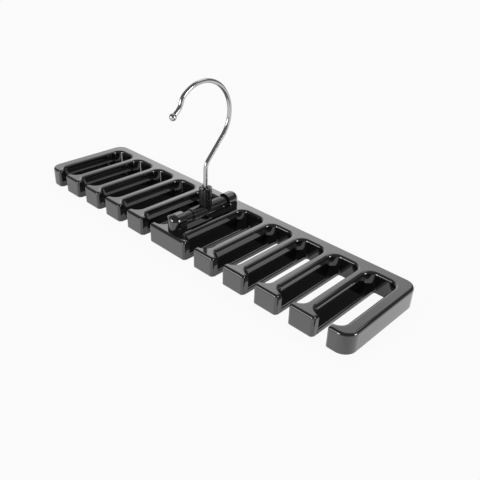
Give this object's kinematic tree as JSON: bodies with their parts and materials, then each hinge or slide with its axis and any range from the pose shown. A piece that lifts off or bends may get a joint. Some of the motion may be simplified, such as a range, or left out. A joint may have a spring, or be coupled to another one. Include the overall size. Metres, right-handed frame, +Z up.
{
  "type": "tie hanger",
  "caption": "Flat comb rack for neckties with T-ended fingers, hung from a tilting and swivelling wire hook.",
  "frame": {"origin": "centre of the rack's underside", "axes": "+X along the rack, -Y the way the fingers point, +Z up through the hook"},
  "size_m": [0.305, 0.074, 0.114],
  "materials": {
    "black_plastic": "glossy moulded black",
    "chromed_wire": "bright polished",
    "plated_steel": "zinc plated spring steel"
  },
  "bodies": {
    "rack": {"rack": "black_plastic"},
    "swivel_yoke": {"swivel_yoke": "black_plastic"},
    "hook": {"hook_wire": "chromed_wire", "ball_tip": "chromed_wire", "push_nut": "plated_steel"}
  },
  "joints": [
    {"name": "hook_tilt", "type": "hinge", "parent": "rack", "child": "swivel_yoke", "pos_m": [0, 0, 0.0201], "axis": [0, 1, 0], "range_deg": [-60, 60]},
    {"name": "hook_swivel", "type": "hinge", "parent": "swivel_yoke", "child": "hook", "pos_m": [0, 0, 0.0371], "axis": [0, 0, 1], "continuous": true}
  ]
}
